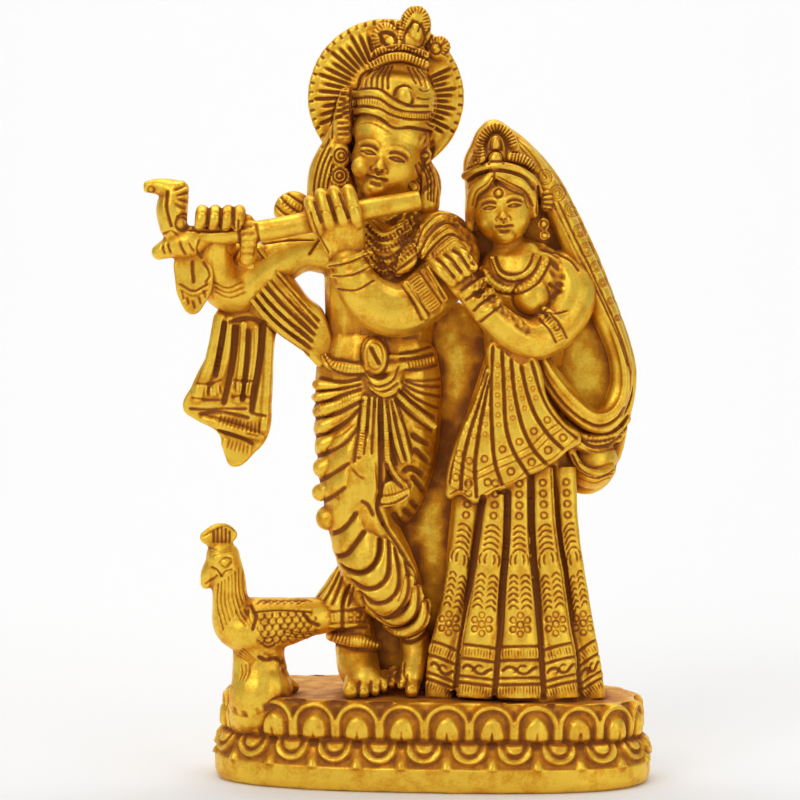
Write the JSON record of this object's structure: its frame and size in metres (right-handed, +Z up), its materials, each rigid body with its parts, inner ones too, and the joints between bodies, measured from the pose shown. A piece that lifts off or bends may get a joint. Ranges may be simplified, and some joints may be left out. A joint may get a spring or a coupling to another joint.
{
  "type": "radha krishna statue",
  "caption": "Cast brass statue of a flute player and a veiled companion standing with a peacock on an oval lotus-petal base.",
  "frame": {"origin": "middle of the base's underside", "axes": "+X to the viewer's right along the base, +Z up, the figures face -Y"},
  "size_m": [0.1263, 0.053, 0.1933],
  "materials": {
    "aged_brass": "satin"
  },
  "bodies": {
    "root": {"radha_krishna_casting": "aged_brass"}
  },
  "joints": []
}
